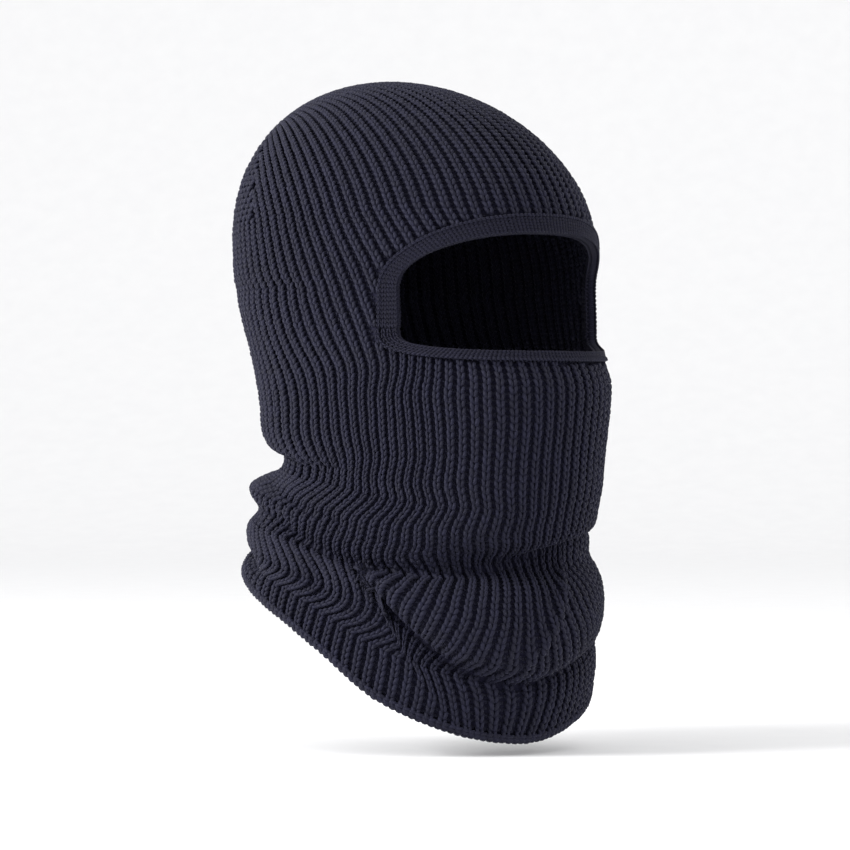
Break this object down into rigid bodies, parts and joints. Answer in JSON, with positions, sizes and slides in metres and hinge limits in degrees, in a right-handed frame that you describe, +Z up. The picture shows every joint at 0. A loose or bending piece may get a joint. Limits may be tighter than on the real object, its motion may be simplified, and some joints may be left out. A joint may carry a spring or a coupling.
{
  "type": "knitted balaclava",
  "caption": "Chunky rib-knit balaclava with one wide face opening, a smooth brow band and a long neck that folds at the nape and hangs as a bib.",
  "frame": {"origin": "on the head's centre line, at the height of the top of the head, where the head bears on the inside of the crown", "axes": "+Z up along the head, -Y out of the face opening, +X towards the wearer's left"},
  "size_m": [0.1793, 0.2211, 0.3287],
  "materials": {
    "rib_knit": "chunky one-by-one rib knit in navy acrylic yarn, soft and matt",
    "band_knit": "fine plain knit in the same navy yarn",
    "thread": "twisted navy sewing yarn",
    "label": "woven off-white label, blank"
  },
  "bodies": {
    "root": {"hood_shell": "rib_knit", "brow_band": "band_knit", "mouth_edge_band": "band_knit", "band_linking_thread": "thread", "mouth_edge_thread": "thread", "crown_seam_thread": "thread", "crown_tack": "thread", "hem_cast_off": "band_knit", "care_label": "label", "label_thread": "thread"}
  },
  "joints": []
}
